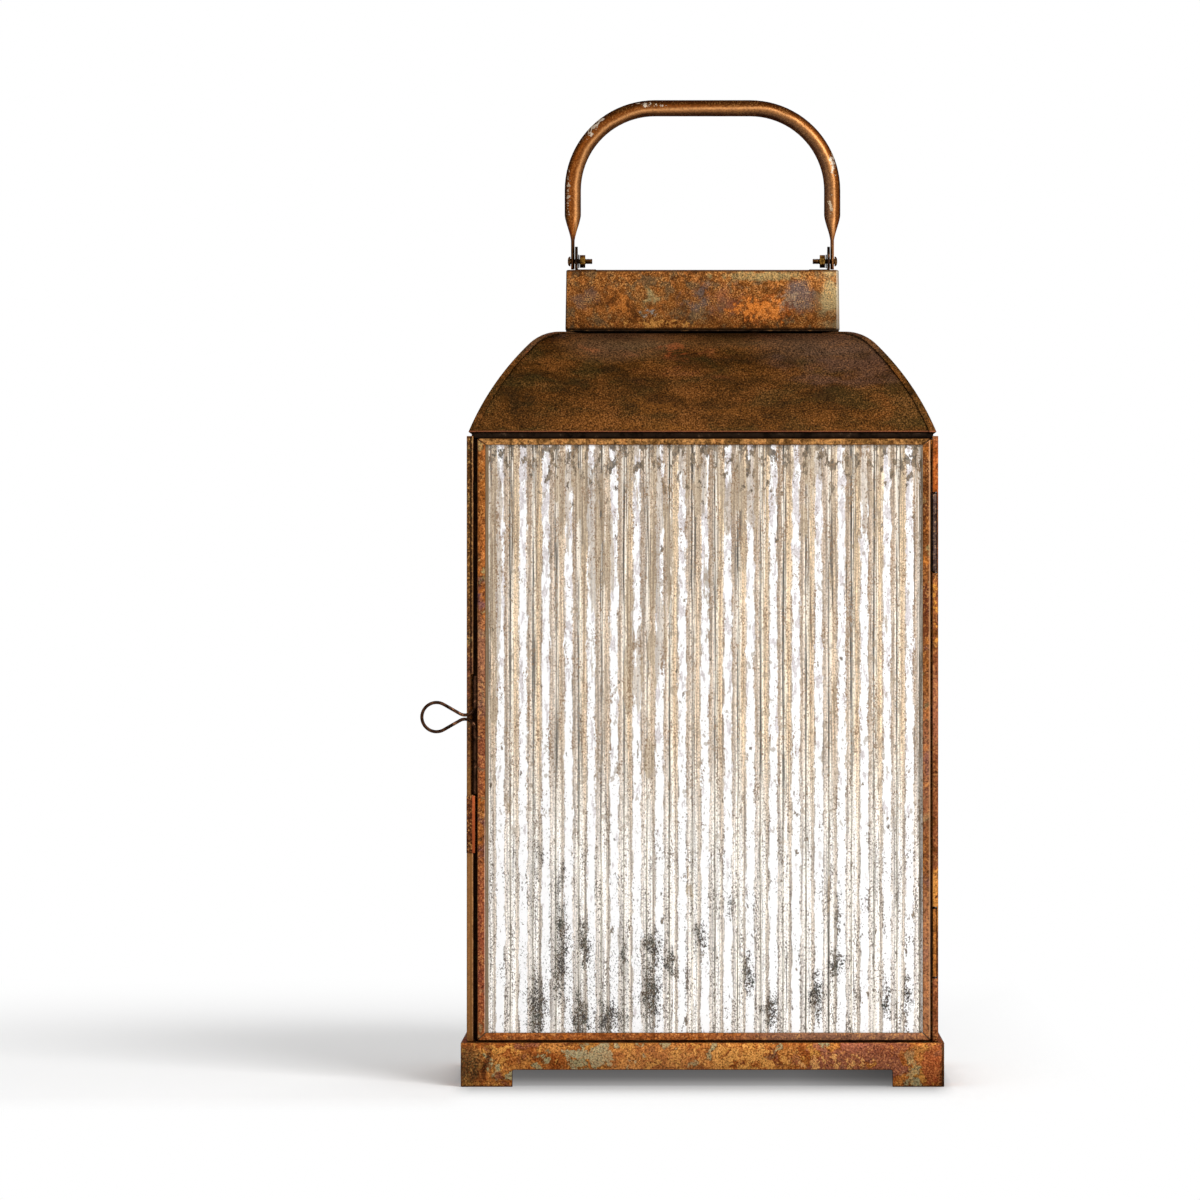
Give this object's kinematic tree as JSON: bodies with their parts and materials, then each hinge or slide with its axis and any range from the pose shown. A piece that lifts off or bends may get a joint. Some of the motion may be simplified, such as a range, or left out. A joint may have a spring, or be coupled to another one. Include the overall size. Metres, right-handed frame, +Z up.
{
  "type": "mercury glass lantern",
  "caption": "Rectangular candle lantern with ribbed mercury-glass panes, a hinged front door with a wire latch loop, a curved hip roof, a vented chimney and a folding tube bail.",
  "frame": {"origin": "centre of the candle floor's top face, where a candle stands", "axes": "+X to the viewer's right, towards the hinges, +Y to the back, +Z up along the height"},
  "size_m": [0.2832, 0.182, 0.54],
  "materials": {
    "plinth_metal": "antiqued iron, ochre and orange patina with grey-green patches",
    "floor_metal": "antiqued iron, dark brown",
    "post_metal": "antiqued iron, brown",
    "frame_metal": "antiqued iron, brown and orange",
    "door_metal": "antiqued iron, orange-red patina",
    "hinge_metal": "worn iron",
    "latch_wire": "dark brown iron wire",
    "catch_metal": "reddish-brown spring sheet",
    "ring_metal": "near-black iron",
    "roof_metal": "antiqued iron, dark brown with orange wear",
    "chimney_metal": "antiqued iron, orange-brown with grey-blue patches",
    "bracket_metal": "dark brown iron",
    "fastener_brass": "tarnished brass-plated steel",
    "bail_metal": "brown-gold tube with pale scuffs",
    "mercury_glass": "reeded glass silvered inside, mottled and worn"
  },
  "bodies": {
    "lantern_body": {"plinth_front": "plinth_metal", "plinth_back": "plinth_metal", "plinth_left": "plinth_metal", "plinth_right": "plinth_metal", "floor_plate": "floor_metal", "left_front_post": "post_metal", "right_front_post": "post_metal", "left_back_post": "post_metal", "right_back_post": "post_metal", "left_frame_left": "frame_metal", "left_frame_right": "frame_metal", "left_frame_bottom": "frame_metal", "left_frame_top": "frame_metal", "left_frame_pane": "mercury_glass", "right_frame_left": "frame_metal", "right_frame_right": "frame_metal", "right_frame_bottom": "frame_metal", "right_frame_top": "frame_metal", "right_frame_pane": "mercury_glass", "back_frame_left": "frame_metal", "back_frame_right": "frame_metal", "back_frame_bottom": "frame_metal", "back_frame_top": "frame_metal", "back_frame_pane": "mercury_glass", "upper_hinge_post_leaf": "hinge_metal", "upper_hinge_pin": "hinge_metal", "lower_hinge_post_leaf": "hinge_metal", "lower_hinge_pin": "hinge_metal", "door_catch": "catch_metal", "eave_ring": "ring_metal", "roof_front": "roof_metal", "roof_back": "roof_metal", "roof_left": "roof_metal", "roof_right": "roof_metal", "roof_collar": "ring_metal", "chimney": "chimney_metal", "left_bracket": "bracket_metal", "left_screw": "fastener_brass", "left_washer": "bracket_metal", "left_nut": "fastener_brass", "right_bracket": "bracket_metal", "right_screw": "fastener_brass", "right_washer": "bracket_metal", "right_nut": "fastener_brass"},
    "door": {"door_left": "door_metal", "door_right": "door_metal", "door_bottom": "door_metal", "door_top": "door_metal", "door_pane": "mercury_glass", "upper_hinge_door_leaf": "hinge_metal", "lower_hinge_door_leaf": "hinge_metal", "latch_loop": "latch_wire"},
    "bail": {"bail": "bail_metal"}
  },
  "joints": [
    {"name": "door_swing", "type": "hinge", "parent": "lantern_body", "child": "door", "pos_m": [0.1255, -0.0873, 0.16], "axis": [0, 0, 1], "range_deg": [0, 170]},
    {"name": "bail_swing", "type": "hinge", "parent": "lantern_body", "child": "bail", "pos_m": [0, 0, 0.4255], "axis": [1, 0, 0], "range_deg": [-85, 85]}
  ]
}
